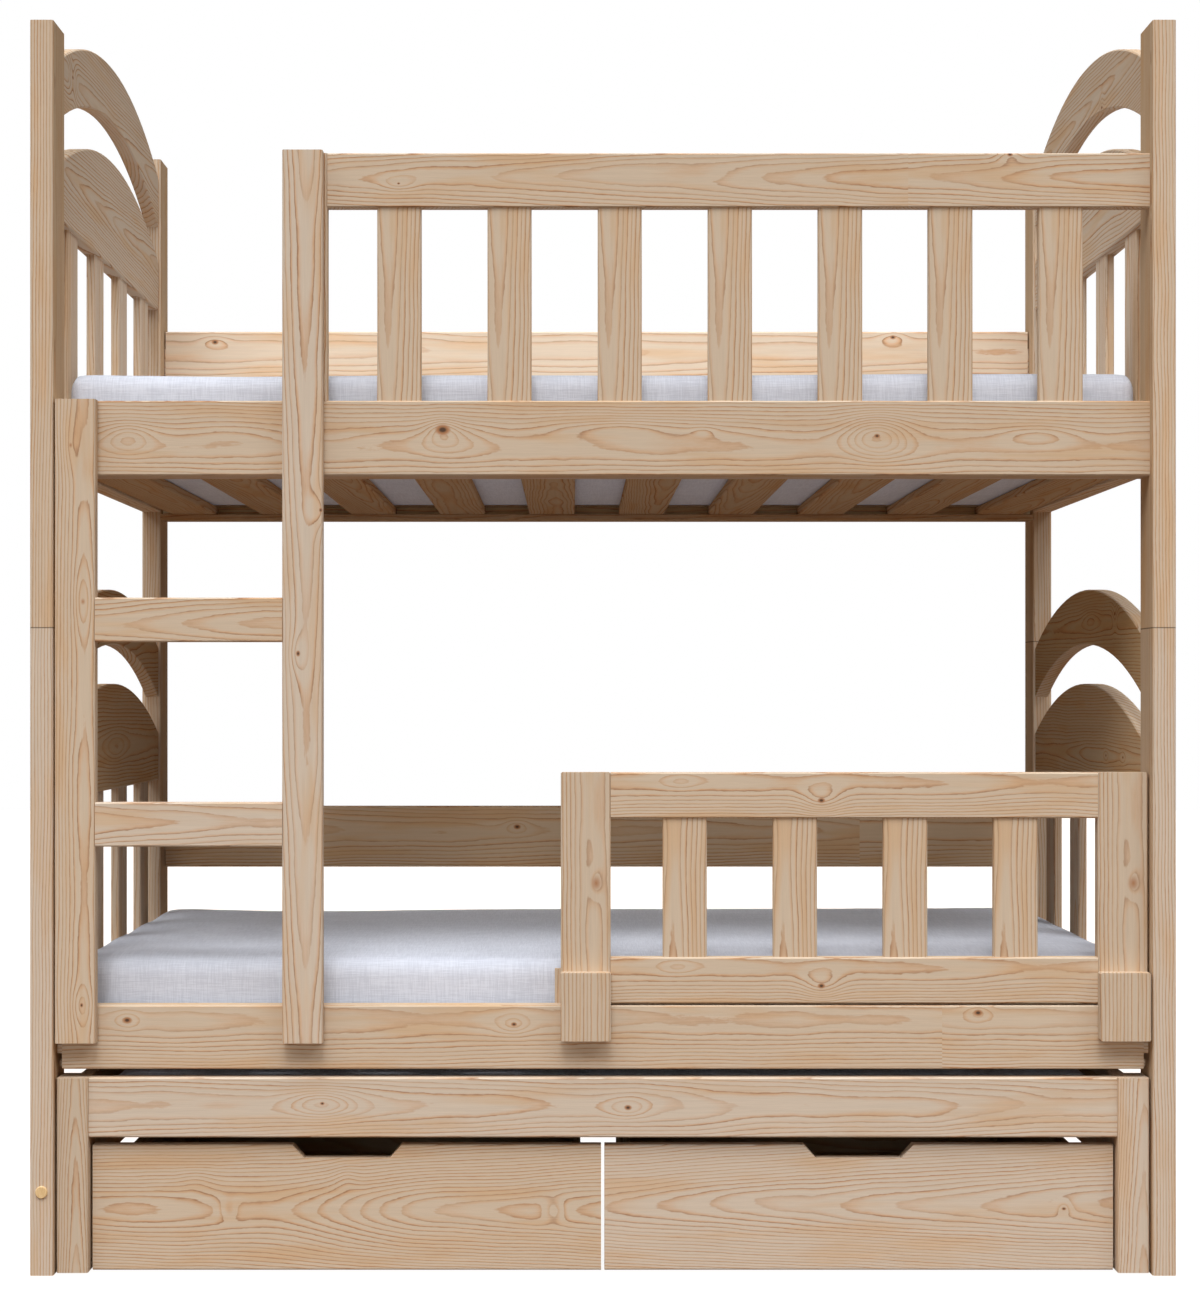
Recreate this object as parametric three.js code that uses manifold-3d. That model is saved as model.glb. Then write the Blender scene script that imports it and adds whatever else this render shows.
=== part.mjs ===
// A bunk bed for three: a high bunk, a low bunk and a roll-out bed with two drawers under it.
// Millimetres, +Z up, the floor at Z = 0, the front towards -Y.
import * as THREE from 'three';
import { mergeVertices } from 'three/addons/utils/BufferGeometryUtils.js';
import Module from 'manifold-3d';

const wasm = await Module();
wasm.setup();

// Driving sizes, in millimetres
const bed = { length: 1680, depth: 880, ease: 2 };

const fit = {
  seat: 0.3, // between a piece and the one it drops over, turns in or lies on
  cut: 1, // how far a cutting solid runs past the face it opens
  bite: 2, // how far glued pieces of one body reach into each other
  weld: 1e-4, // points closer than this are one point
};

const post = { width: 34, depth: 70, lowerHeight: 950, upperHeight: 891 };

const dowel = { radius: 8, rise: 50, foot: 10, endRoom: 3 };

const rail = {
  thickness: 27, setBack: 17, lowerHeight: 94, upperHeight: 110,
  lowerBottom: 300, upperRise: 225, // the upper one from the lower posts' tops
  endGap: 9,
};

const ledger = { height: 10, width: 28 };

const endFrame = {
  crossbarHeight: 96, slatLength: 277.5, panelSide: 87.5, archGap: 65.5, archHeight: 91,
  archRise: 88, panelThickness: 26, archThickness: 24,
  lowerDrop: 629, upperRise: 239, // both from the lower posts' tops
};

const endSlat = { width: 65, thickness: 14, pitch: 182.6, postRoom: 40, tenon: 12 };

// How far each board along the back lies above the bottom of its storey's rail
const backBoard = { thickness: 20, height: 113, lowerRise: 231, upperRise: 240, endGap: 3 };

// Stub tenon at the ends of the boards that stop short of the posts
const stub = { height: 50, thickness: 10 };

const slatBase = {
  width: 84, thickness: 15, pitch: 165.5, endRoom: 1,
  tapeWidth: 22, tapeThickness: 1, tapeBite: 0.5, tapeInset: 2,
};

const mattress = { height: 134, endRoom: 8, frontRoom: 14.5, backRoom: 5.5 };

// The covered foam's form: corner radius in plan, edge radius, crown and drawn-in sides
const foam = {
  cornerRadius: 36, edgeRadius: 16, crown: 6, drawnIn: 4, edgeShare: 1 / 3, cornerShare: 0.2,
  cornerSteps: 5, sideSteps: 5, edgeSteps: 4, wallSteps: 3, topSteps: 4,
};

const guard = {
  thickness: 20, height: 365, topRail: 80, slatWidth: 65, slatThickness: 14, pitch: 162.7,
};

const ladder = {
  stileWidth: 59, thickness: 20, clearWidth: 274, postRoom: 3, bottom: 341, reveal: 5,
  rungHeight: 65, rungTops: [694, 994],
};

const lowerGuard = {
  length: 865, height: 343.2, stileWidth: 73.5, postRoom: 3, topRail: 67.5, bottomRail: 68,
  bottomGap: 2.7, firstGap: 77, thickness: 20,
  blockThickness: 20, blockDrop: 50, blockRise: 50, rearThickness: 12, rearShift: 9,
};

const trundle = {
  legWidth: 46, postRoom: 3, setBack: 8, backRoom: 32, floorRoom: 2, height: 288,
  railHeight: 88, railThickness: 22, railSetBack: 5, sideHeight: 143,
  ledgerHeight: 8, ledgerWidth: 28, slatThickness: 12,
  mattressEndRoom: 15, mattressSideRoom: 8, mattressHeight: 62,
};

const caster = {
  radius: 16, width: 12, sideRoom: 1, slotRoom: 1.5, pinRadius: 3, pinInset: 2, rim: 1.5,
};

const drawer = {
  frontHeight: 185, frontThickness: 20, floorRoom: 2, setBack: 16, legRoom: 3.5, middleGap: 5,
  notchTop: 160, notchBottom: 126, notchDepth: 20,
  boxInset: 30, boxDepth: 640, boxTop: 160, boxBottom: 10, wall: 12,
  floorBottom: 30, floorThickness: 6,
};

const wheel = {
  radius: 22, width: 12, room: 1, axleRadius: 4, axleInset: 70, rim: 1.5, hubRadius: 9, hubRise: 2,
};

const cap = { radius: 9, rise: 2.5, height: 122.5, stemRadius: 5, stem: 12, crown: 1 };

// Photo colours
const pine = 0xcbb091;
const pineShade = 0xbf9f7b;
const linen = 0xdfe1ea;
const plugWood = 0xe2bd78;
const grey = 0x6f7277;

// Sides of a round piece, and half the steps of an arc
const sides = { round: 24, arch: 12 };

// Places worked out from the driving sizes; Y is counted here from the middle of the posts
const innerX = bed.length / 2 - post.width;
const frontY = -bed.depth / 2;
const innerY = bed.depth / 2 - post.depth;
const railFrontY = frontY + rail.setBack;
const railInnerY = railFrontY + rail.thickness;
const lowerRailTop = rail.lowerBottom + rail.lowerHeight;
const upperRailBottom = post.lowerHeight + rail.upperRise;
const upperRailTop = upperRailBottom + rail.upperHeight;
const postTop = post.lowerHeight + post.upperHeight;

// Makes a closed solid of a three.js geometry, with its shared points merged
function toSolid(geometry) {
  const bare = geometry.clone();
  bare.deleteAttribute('normal');
  bare.deleteAttribute('uv');
  const merged = mergeVertices(bare, fit.weld);
  const mesh = new wasm.Mesh({
    numProp: 3,
    vertProperties: new Float32Array(merged.attributes.position.array),
    triVerts: new Uint32Array(merged.index.array),
  });
  mesh.merge();
  return new wasm.Manifold(mesh);
}

// Turns a solid back into a three.js geometry
function toGeometry(solid) {
  const mesh = solid.getMesh();
  const geometry = new THREE.BufferGeometry();
  geometry.setAttribute('position', new THREE.BufferAttribute(mesh.vertProperties, 3));
  geometry.setIndex(new THREE.BufferAttribute(mesh.triVerts, 1));
  const flat = geometry.toNonIndexed();
  flat.computeVertexNormals();
  return flat;
}

// Joins the first geometry with the ones to add, then cuts the others away
function joined(geometries, cuts = []) {
  const [first, ...rest] = geometries.map(toSolid);
  const whole = rest.reduce((sum, solid) => sum.add(solid), first);
  return toGeometry(cuts.map(toSolid).reduce((left, solid) => left.subtract(solid), whole));
}

function material(color, roughness = 0.6, metalness = 0) {
  return new THREE.MeshStandardMaterial({ color, roughness, metalness });
}

// A named piece at its place in its group
function piece(name, geometry, color, place = [0, 0, 0], roughness = 0.6, metalness = 0) {
  const mesh = new THREE.Mesh(geometry, material(color, roughness, metalness));
  mesh.name = name;
  mesh.position.set(...place);
  return mesh;
}

// A rectangle with its four corners eased off, centred on the origin
function easedRectangle(width, height, ease) {
  const x = width / 2;
  const y = height / 2;
  const shape = new THREE.Shape();
  shape.moveTo(-x + ease, -y);
  shape.lineTo(x - ease, -y);
  shape.lineTo(x, -y + ease);
  shape.lineTo(x, y - ease);
  shape.lineTo(x - ease, y);
  shape.lineTo(-x + ease, y);
  shape.lineTo(-x, y - ease);
  shape.lineTo(-x, -y + ease);
  shape.closePath();
  return shape;
}

// A planed board with eased long edges that fills the box between two corners; grain names its
// long direction
function board(low, high, grain, ease = bed.ease) {
  const size = high.map((value, axis) => value - low[axis]);
  const middle = high.map((value, axis) => (value + low[axis]) / 2);
  const sections = { x: [size[2], size[1]], y: [size[0], size[2]], z: [size[0], size[1]] };
  const run = { x: size[0], y: size[1], z: size[2] }[grain];
  const shape = easedRectangle(...sections[grain], ease);
  const geometry = new THREE.ExtrudeGeometry(shape, { depth: run, bevelEnabled: false });
  geometry.translate(0, 0, -run / 2);
  if (grain === 'x') geometry.rotateY(Math.PI / 2);
  if (grain === 'y') geometry.rotateX(-Math.PI / 2);
  return geometry.translate(...middle);
}

// A sharp-edged box between two corners, for cuts and for thin parts
function block(low, high) {
  const size = high.map((value, axis) => value - low[axis]);
  const middle = high.map((value, axis) => (value + low[axis]) / 2);
  return new THREE.BoxGeometry(...size).translate(...middle);
}

// A round rod from one end to the other along X, Y or Z
function rod(radius, axis, from, to, centre) {
  const run = to - from;
  const geometry = new THREE.CylinderGeometry(radius, radius, run, sides.round);
  if (axis === 'x') geometry.rotateZ(-Math.PI / 2);
  if (axis === 'z') geometry.rotateX(Math.PI / 2);
  const middle = (from + to) / 2;
  const places = {
    x: [middle, centre[0], centre[1]],
    y: [centre[0], middle, centre[1]],
    z: [centre[0], centre[1], middle],
  };
  return geometry.translate(...places[axis]);
}

// A disc-like body turned about the X axis; the outline is given as [radius, x] pairs
function turnedAboutX(outline) {
  const points = outline.map(([radius, x]) => new THREE.Vector2(radius, x));
  return new THREE.LatheGeometry(points, sides.round).rotateZ(-Math.PI / 2);
}

// An outline in the Y-Z plane, extruded along X between two places, with its edges eased
function plate(shape, fromX, toX, ease = bed.ease) {
  const geometry = new THREE.ExtrudeGeometry(shape, {
    depth: toX - fromX - 2 * ease,
    bevelEnabled: ease > 0,
    bevelThickness: ease,
    bevelSize: ease,
    bevelOffset: -ease,
    bevelSegments: 1,
    curveSegments: sides.arch,
  });
  geometry.rotateY(Math.PI / 2);
  geometry.rotateX(Math.PI / 2);
  return geometry.translate(fromX + ease, 0, 0);
}

// Each of the four corners of the bed, with the signs of its X and Y
const corners = [
  { name: 'front_left', x: -1, y: -1 },
  { name: 'front_right', x: 1, y: -1 },
  { name: 'back_left', x: -1, y: 1 },
  { name: 'back_right', x: 1, y: 1 },
];

// The box of one post between two heights
function postBoard(corner, bottom, top) {
  const xs = [corner.x * innerX, (corner.x * bed.length) / 2].sort((a, b) => a - b);
  const ys = [corner.y * innerY, (corner.y * bed.depth) / 2].sort((a, b) => a - b);
  return board([xs[0], ys[0], bottom], [xs[1], ys[1], top], 'z');
}

function postCentre(corner) {
  return [corner.x * (innerX + post.width / 2), corner.y * (innerY + post.depth / 2)];
}

// A lower post and the dowel glued into its top; one of them is bored for the cover cap
function lowerPost(corner) {
  const centre = postCentre(corner);
  const from = post.lowerHeight - dowel.foot;
  const pin = rod(dowel.radius, 'z', from, post.lowerHeight + dowel.rise, centre);
  const stemRadius = cap.stemRadius + fit.seat;
  const boreEnd = frontY + cap.stem + fit.seat;
  const bore = rod(stemRadius, 'y', frontY - fit.cut, boreEnd, [centre[0], cap.height]);
  const capped = corner.name === 'front_left';
  const solids = [postBoard(corner, 0, post.lowerHeight), pin];
  return piece(`lower_post_${corner.name}`, joined(solids, capped ? [bore] : []), pine);
}

// An upper post, bored from below for the dowel
function upperPost(corner) {
  const top = post.lowerHeight + dowel.rise + dowel.endRoom;
  const radius = dowel.radius + fit.seat;
  const bore = rod(radius, 'z', post.lowerHeight - fit.cut, top, postCentre(corner));
  const solid = joined([postBoard(corner, post.lowerHeight, postTop)], [bore]);
  return piece(`upper_post_${corner.name}`, solid, pine);
}

// The round cover cap over the bolt head in the left front post
function coverCap() {
  const [x] = postCentre(corners[0]);
  const outline = [
    [0, -cap.stem], [cap.stemRadius, -cap.stem], [cap.stemRadius, 0], [cap.radius, 0],
    [cap.radius, cap.rise - cap.crown], [cap.radius - cap.crown, cap.rise], [0, cap.rise],
  ];
  const points = outline.map(([radius, y]) => new THREE.Vector2(radius, y));
  const geometry = new THREE.LatheGeometry(points, sides.round).rotateX(Math.PI);
  return piece('bolt_cover_cap', geometry, plugWood, [x, frontY, cap.height]);
}

// Radius of the arc that rises by the given height over the clear depth between the posts
function arcRadius(rise) {
  return (innerY * innerY + rise * rise) / (2 * rise);
}

// Draws the arc from one post to the other whose ends are at the given height
function arcOver(shape, endHeight, rise, backwards) {
  const radius = arcRadius(rise);
  const centre = endHeight + rise - radius;
  const half = Math.asin(innerY / radius);
  const start = Math.PI / 2 - half;
  const end = Math.PI / 2 + half;
  if (backwards) shape.absarc(0, centre, radius, end, start, true);
  else shape.absarc(0, centre, radius, start, end, false);
}

// The arch: a band between two equal arcs, one above the other
function archShape() {
  const shape = new THREE.Shape();
  arcOver(shape, endFrame.archHeight, endFrame.archRise, false);
  arcOver(shape, 0, endFrame.archRise, true);
  shape.closePath();
  return shape;
}

// The panel: straight below, arched above
function panelShape() {
  const shape = new THREE.Shape();
  shape.moveTo(-innerY, 0);
  shape.lineTo(innerY, 0);
  arcOver(shape, endFrame.panelSide, endFrame.archRise, false);
  shape.closePath();
  return shape;
}

// The crossbar with its upright slats tenoned into it, centred on the end frame's own plane
function endGrid() {
  const half = post.width / 2;
  const slatTop = endFrame.crossbarHeight + endFrame.slatLength;
  const crossbar = board([-half, -innerY, 0], [half, innerY, endFrame.crossbarHeight], 'y');
  const room = 2 * (innerY - endSlat.postRoom) - endSlat.width;
  const count = 1 + Math.floor(room / endSlat.pitch);
  const firstY = (-endSlat.pitch * (count - 1)) / 2;
  const slats = Array.from({ length: count }, (_, index) => {
    const y = firstY + index * endSlat.pitch;
    const low = [-endSlat.thickness / 2, y - endSlat.width / 2, endFrame.crossbarHeight - endSlat.tenon];
    return board(low, [endSlat.thickness / 2, y + endSlat.width / 2, slatTop], 'z');
  });
  return joined([crossbar, ...slats]);
}

// One storey's end frame on one side: grid, panel and arch, one above the other, with the inner
// faces of panel and arch flush
function endFrameGroup(storey, bottom, side) {
  const name = side < 0 ? 'left' : 'right';
  const inner = -endFrame.panelThickness / 2;
  const panelBottom = endFrame.crossbarHeight + endFrame.slatLength;
  const archBottom = panelBottom + endFrame.panelSide + endFrame.archGap;
  const layers = [
    ['end_grid', endGrid(), 0],
    ['end_panel', plate(panelShape(), inner, inner + endFrame.panelThickness), panelBottom],
    ['arch', plate(archShape(), inner, inner + endFrame.archThickness), archBottom],
  ];
  const group = new THREE.Group();
  group.position.set(side * (innerX + post.width / 2), 0, bottom);
  group.rotation.z = side < 0 ? Math.PI : 0;
  for (const [label, geometry, z] of layers) {
    group.add(piece(`${storey}_${label}_${name}`, geometry, pine, [0, 0, z]));
  }
  return group;
}

// A bed rail for the front, with its ledger along the inside of the bottom edge; the back one
// is the same piece turned round
function upperRail() {
  const low = [-innerX, railFrontY, upperRailBottom];
  const face = board(low, [innerX, railInnerY, upperRailTop], 'x');
  return joined([face, ledgerStrip(upperRailBottom)]);
}

// A board along the bed that stops short of the posts, with a stub tenon at each end
function stubbedBoard(low, high, endGap) {
  const face = board([-innerX + endGap, low[0], low[1]], [innerX - endGap, high[0], high[1]], 'x');
  const y = (low[0] + high[0] - stub.thickness) / 2;
  const z = (low[1] + high[1] - stub.height) / 2;
  return [face, block([-innerX, y, z], [innerX, y + stub.thickness, z + stub.height])];
}

function lowerRail() {
  const low = [railFrontY, rail.lowerBottom];
  const solids = stubbedBoard(low, [railInnerY, lowerRailTop], rail.endGap);
  return joined([...solids, ledgerStrip(rail.lowerBottom)]);
}

// The strip that carries the slat ends
function ledgerStrip(bottom) {
  const low = [-innerX, railInnerY - fit.bite, bottom];
  return board(low, [innerX, railInnerY + ledger.width, bottom + ledger.height], 'x', fit.bite / 2);
}

// Front and back rails of both bunks
function bedRails() {
  const group = new THREE.Group();
  for (const [name, geometry] of [['upper', upperRail()], ['lower', lowerRail()]]) {
    group.add(piece(`${name}_front_rail`, geometry, pine));
    const back = piece(`${name}_back_rail`, geometry.clone(), pineShade);
    back.rotation.z = Math.PI;
    group.add(back);
  }
  return group;
}

// The boards along the back, flush with the outer face of the back rails
function backBoards() {
  const group = new THREE.Group();
  for (const [name, bottom] of [
    ['lower_back_board', rail.lowerBottom + backBoard.lowerRise],
    ['upper_safety_board', upperRailBottom + backBoard.upperRise],
  ]) {
    const low = [-railFrontY - backBoard.thickness, bottom];
    const high = [-railFrontY, bottom + backBoard.height];
    group.add(piece(name, joined(stubbedBoard(low, high, backBoard.endGap)), pine));
  }
  return group;
}

// A set of slats under two tapes near their ends, centred on the origin, with its underside at
// Z = 0; as many slats as the clear length takes
function slatSet(halfLength, halfDepth, thickness) {
  const count = 1 + Math.floor((2 * halfLength - slatBase.width) / slatBase.pitch);
  const firstX = (-slatBase.pitch * (count - 1)) / 2;
  const solids = Array.from({ length: count }, (_, index) => {
    const x = firstX + index * slatBase.pitch;
    const low = [x - slatBase.width / 2, -halfDepth, 0];
    return board(low, [x + slatBase.width / 2, halfDepth, thickness], 'y');
  });
  const tapeEnd = -firstX + slatBase.width / 2 - slatBase.tapeWidth / 2;
  const tapeLow = thickness - slatBase.tapeBite;
  for (const side of [-1, 1]) {
    const middle = side * (halfDepth - slatBase.tapeInset - slatBase.tapeWidth / 2);
    const low = [-tapeEnd, middle - slatBase.tapeWidth / 2, tapeLow];
    const high = [tapeEnd, middle + slatBase.tapeWidth / 2, tapeLow + slatBase.tapeThickness];
    solids.push(block(low, high));
  }
  return joined(solids);
}

// Heights at which each bunk's slats and mattress lie
function slatBottom(railBottom) {
  return railBottom + ledger.height;
}

// How far above the slats a mattress lies, on the tapes
const tapeRise = slatBase.tapeThickness - slatBase.tapeBite + fit.seat;

function mattressBottom(railBottom) {
  return slatBottom(railBottom) + slatBase.thickness + tapeRise;
}

// Points round a rectangle with rounded corners, drawn in by inset on every side
function roundedLoop(length, width, cornerRadius, inset) {
  const radius = Math.max(cornerRadius - inset, cornerRadius * foam.cornerShare);
  const halfX = length / 2 - inset;
  const halfY = width / 2 - inset;
  const points = [];
  const quarters = [[1, 1], [-1, 1], [-1, -1], [1, -1]];
  quarters.forEach(([signX, signY], quarter) => {
    const centre = [signX * (halfX - radius), signY * (halfY - radius)];
    for (let step = 0; step <= foam.cornerSteps; step += 1) {
      const angle = ((quarter + step / foam.cornerSteps) * Math.PI) / 2;
      points.push([centre[0] + radius * Math.cos(angle), centre[1] + radius * Math.sin(angle)]);
    }
    const [nextX, nextY] = quarters[(quarter + 1) % quarters.length];
    const next = [nextX * (halfX - radius), nextY * (halfY - radius)];
    const angle = ((quarter + 1) * Math.PI) / 2;
    const from = points[points.length - 1];
    const to = [next[0] + radius * Math.cos(angle), next[1] + radius * Math.sin(angle)];
    for (let step = 1; step < foam.sideSteps; step += 1) {
      const share = step / foam.sideSteps;
      points.push([from[0] + (to[0] - from[0]) * share, from[1] + (to[1] - from[1]) * share]);
    }
  });
  return points;
}

// Heights and insets of the loops that a covered foam block is skinned over: a flat underside,
// rounded edges, sides drawn in at mid height and a top that swells to its crown
function foamRings(length, width, height) {
  const edge = Math.min(foam.edgeRadius, height * foam.edgeShare);
  const rings = [];
  const sideTop = height - foam.crown;
  for (let step = 0; step <= foam.edgeSteps; step += 1) {
    const angle = (step / foam.edgeSteps) * (Math.PI / 2);
    rings.push([edge * (1 - Math.sin(angle)), edge * (1 - Math.cos(angle))]);
  }
  for (let step = 1; step < foam.wallSteps; step += 1) {
    const share = step / foam.wallSteps;
    const z = edge + (sideTop - 2 * edge) * share;
    rings.push([foam.drawnIn * Math.sin(share * Math.PI), z]);
  }
  for (let step = 0; step <= foam.edgeSteps; step += 1) {
    const angle = (step / foam.edgeSteps) * (Math.PI / 2);
    rings.push([edge * (1 - Math.cos(angle)), sideTop - edge + edge * Math.sin(angle)]);
  }
  const deepest = width / 2 - edge;
  for (let step = 1; step < foam.topSteps; step += 1) {
    const share = step / foam.topSteps;
    rings.push([edge + deepest * share, sideTop + foam.crown * Math.sin((share * Math.PI) / 2)]);
  }
  return rings;
}

// A covered foam mattress with its underside at Z = 0
function foamMattress(length, width, height) {
  const rings = foamRings(length, width, height);
  const loops = rings.map(([inset, z]) =>
    roundedLoop(length, width, foam.cornerRadius, inset).map(([x, y]) => [x, y, z]));
  const count = loops[0].length;
  const positions = loops.flat(2);
  const index = [];
  for (let ring = 0; ring + 1 < loops.length; ring += 1) {
    for (let at = 0; at < count; at += 1) {
      const next = (at + 1) % count;
      const [a, b] = [ring * count + at, ring * count + next];
      index.push(a, b, b + count, a, b + count, a + count);
    }
  }
  const under = positions.length / 3;
  positions.push(0, 0, 0, 0, 0, height);
  const last = (loops.length - 1) * count;
  for (let at = 0; at < count; at += 1) {
    const next = (at + 1) % count;
    index.push(under, next, at, under + 1, last + at, last + next);
  }
  const geometry = new THREE.BufferGeometry();
  geometry.setAttribute('position', new THREE.Float32BufferAttribute(positions, 3));
  geometry.setIndex(index);
  geometry.computeVertexNormals();
  return geometry;
}

// Slats and mattress of the upper and the lower bunk
function bunkBeds() {
  const group = new THREE.Group();
  const halfDepth = -railInnerY - slatBase.endRoom;
  const length = 2 * (innerX - mattress.endRoom);
  const width = -2 * railInnerY - mattress.frontRoom - mattress.backRoom;
  const y = (mattress.frontRoom - mattress.backRoom) / 2;
  for (const [name, railBottom] of [['upper', upperRailBottom], ['lower', rail.lowerBottom]]) {
    const slats = slatSet(innerX, halfDepth, slatBase.thickness);
    group.add(piece(`${name}_slat_base`, slats, pineShade, [0, 0, slatBottom(railBottom)]));
    const form = foamMattress(length, width, mattress.height);
    const place = [0, y, mattressBottom(railBottom)];
    group.add(piece(`${name}_mattress`, form, linen, place, 0.9));
  }
  return group;
}

// Where the ladder's two stiles begin and end along X
const ladderLeft = -innerX + ladder.postRoom;
const ladderRight = ladderLeft + ladder.stileWidth + ladder.clearWidth;
const ladderFrontY = railFrontY - ladder.thickness;

// The ladder: a short left stile, a right stile as high as the guard, and the rungs between them
function ladderGroup() {
  const group = new THREE.Group();
  const stile = (left, top) =>
    board([left, ladderFrontY, ladder.bottom], [left + ladder.stileWidth, railFrontY, top], 'z');
  const guardTop = upperRailTop + guard.height;
  group.add(piece('ladder_stile_left', stile(ladderLeft, upperRailTop), pine));
  group.add(piece('ladder_stile_right', stile(ladderRight, guardTop), pine));
  const rungLeft = ladderLeft + ladder.stileWidth;
  ladder.rungTops.forEach((top, index) => {
    const low = [rungLeft, ladderFrontY, top - ladder.rungHeight];
    const rung = board(low, [ladderRight, railFrontY, top], 'x');
    group.add(piece(`ladder_rung_${index + 1}`, rung, pine));
  });
  return group;
}

// The upper guard stands on the front rail, from the end stile behind the ladder to the post
function upperGuard() {
  const group = new THREE.Group();
  const backY = railFrontY + guard.thickness;
  const top = upperRailTop + guard.height;
  const stileRight = ladderRight + ladder.stileWidth + ladder.reveal;
  const stileLow = [stileRight - guard.slatWidth, railFrontY, upperRailTop];
  group.add(piece('guard_end_stile', board(stileLow, [stileRight, backY, top], 'z'), pine));
  const railLow = [stileRight, railFrontY, top - guard.topRail];
  const solids = [board(railLow, [innerX, backY, top], 'x')];
  const slatY = railFrontY + (guard.thickness - guard.slatThickness) / 2;
  const count = Math.floor((innerX - stileRight) / guard.pitch);
  for (let index = 1; index <= count; index += 1) {
    const x = innerX - index * guard.pitch;
    const high = [x + guard.slatWidth, slatY + guard.slatThickness, railLow[2] + fit.bite];
    solids.push(board([x, slatY, upperRailTop], high, 'z'));
  }
  group.add(piece('guard_top_rail', joined(solids), pine));
  return group;
}

// Side outline of a hook stile in Y and Z from the rail's front face and top edge: the stile
// stands over the rail, with one block hung before it and one behind it
function hookOutline() {
  const front = -fit.seat;
  const behind = rail.thickness + fit.seat;
  const stileBack = front + lowerGuard.thickness;
  const rearBack = behind + lowerGuard.rearThickness;
  const shape = new THREE.Shape();
  shape.moveTo(front, -lowerGuard.blockDrop);
  shape.lineTo(front, fit.seat);
  shape.lineTo(behind, fit.seat);
  shape.lineTo(behind, -lowerGuard.blockDrop);
  shape.lineTo(rearBack, -lowerGuard.blockDrop);
  shape.lineTo(rearBack, lowerGuard.blockRise);
  shape.lineTo(stileBack, lowerGuard.blockRise);
  shape.lineTo(stileBack, lowerGuard.height);
  shape.lineTo(front, lowerGuard.height);
  shape.lineTo(front, lowerGuard.blockRise);
  shape.lineTo(front - lowerGuard.blockThickness, lowerGuard.blockRise);
  shape.lineTo(front - lowerGuard.blockThickness, -lowerGuard.blockDrop);
  shape.closePath();
  return shape;
}

// A hook stile; its rear block is wider than the stile towards the left
function hookStile(left) {
  const behind = rail.thickness + fit.seat;
  const low = [left - lowerGuard.rearShift, behind, -lowerGuard.blockDrop];
  const high = [left + fit.bite + bed.ease, behind + lowerGuard.rearThickness, lowerGuard.blockRise];
  const wing = board(low, high, 'z', fit.bite / 2);
  return joined([plate(hookOutline(), left, left + lowerGuard.stileWidth), wing]);
}

// The lower guard, in a group whose origin lies on the rail's front top edge
function lowerGuardGroup() {
  const group = new THREE.Group();
  group.position.set(0, railFrontY, lowerRailTop);
  const right = innerX - lowerGuard.postRoom;
  const left = right - lowerGuard.length;
  const front = -fit.seat;
  const back = front + lowerGuard.thickness;
  const from = left + lowerGuard.stileWidth;
  const to = right - lowerGuard.stileWidth;
  group.add(piece('lower_guard_stile_left', hookStile(left), pine));
  group.add(piece('lower_guard_stile_right', hookStile(to), pine));
  const railTop = lowerGuard.bottomGap + lowerGuard.bottomRail;
  const foot = board([from, front, lowerGuard.bottomGap], [to, back, railTop], 'x');
  group.add(piece('lower_guard_bottom_rail', foot, pine));
  const topLow = lowerGuard.height - lowerGuard.topRail;
  const solids = [board([from, front, topLow], [to, back, lowerGuard.height], 'x')];
  const slatY = front + (lowerGuard.thickness - guard.slatThickness) / 2;
  const room = to - from - 2 * lowerGuard.firstGap - guard.slatWidth;
  const count = 1 + Math.floor(room / guard.pitch);
  for (let index = 0; index < count; index += 1) {
    const x = from + lowerGuard.firstGap + index * guard.pitch;
    const high = [x + guard.slatWidth, slatY + guard.slatThickness, topLow + fit.bite];
    solids.push(board([x, slatY, railTop], high, 'z'));
  }
  group.add(piece('lower_guard_top_rail', joined(solids), pine));
  return group;
}

// The roll-out bed's own places, from the floor and from its front face
const trundleX = innerX - trundle.postRoom;
const trundleInnerX = trundleX - trundle.legWidth;
const trundleDepth = bed.depth - trundle.setBack - trundle.backRoom;
const casterFloor = 0;
const legCentre = trundle.legWidth / 2;

// A leg with a slot in its foot for the wheel and a hole across it for the pin
function trundleLeg(low) {
  const high = [low[0] + trundle.legWidth, low[1] + trundle.legWidth, trundle.height];
  const middle = [low[0] + legCentre, low[1] + legCentre];
  const halfSlot = caster.width / 2 + caster.sideRoom;
  const reach = caster.radius + caster.slotRoom;
  const slotTop = caster.radius + reach;
  const slot = block(
    [middle[0] - halfSlot, middle[1] - reach, -fit.cut],
    [middle[0] + halfSlot, middle[1] + reach, slotTop]);
  const holeRadius = caster.pinRadius + fit.seat;
  const holeEnds = [low[0] - fit.cut, high[0] + fit.cut];
  const hole = rod(holeRadius, 'x', ...holeEnds, [middle[1], caster.radius]);
  return { solid: board(low, high, 'z'), cuts: [slot, hole] };
}

// One end of the roll-out bed: two legs and the side rail glued between them
function trundleEnd(side) {
  const left = side < 0 ? -trundleX : trundleInnerX;
  const legs = [0, trundleDepth - trundle.legWidth].map((y) =>
    trundleLeg([left, y, trundle.floorRoom]));
  const railLeft = side < 0 ? -trundleInnerX - trundle.railThickness : trundleInnerX;
  const sideRail = board(
    [railLeft, trundle.legWidth - fit.bite, trundle.height - trundle.sideHeight],
    [railLeft + trundle.railThickness, trundleDepth - trundle.legWidth + fit.bite, trundle.height],
    'y');
  return joined([legs[0].solid, legs[1].solid, sideRail], [...legs[0].cuts, ...legs[1].cuts]);
}

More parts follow.
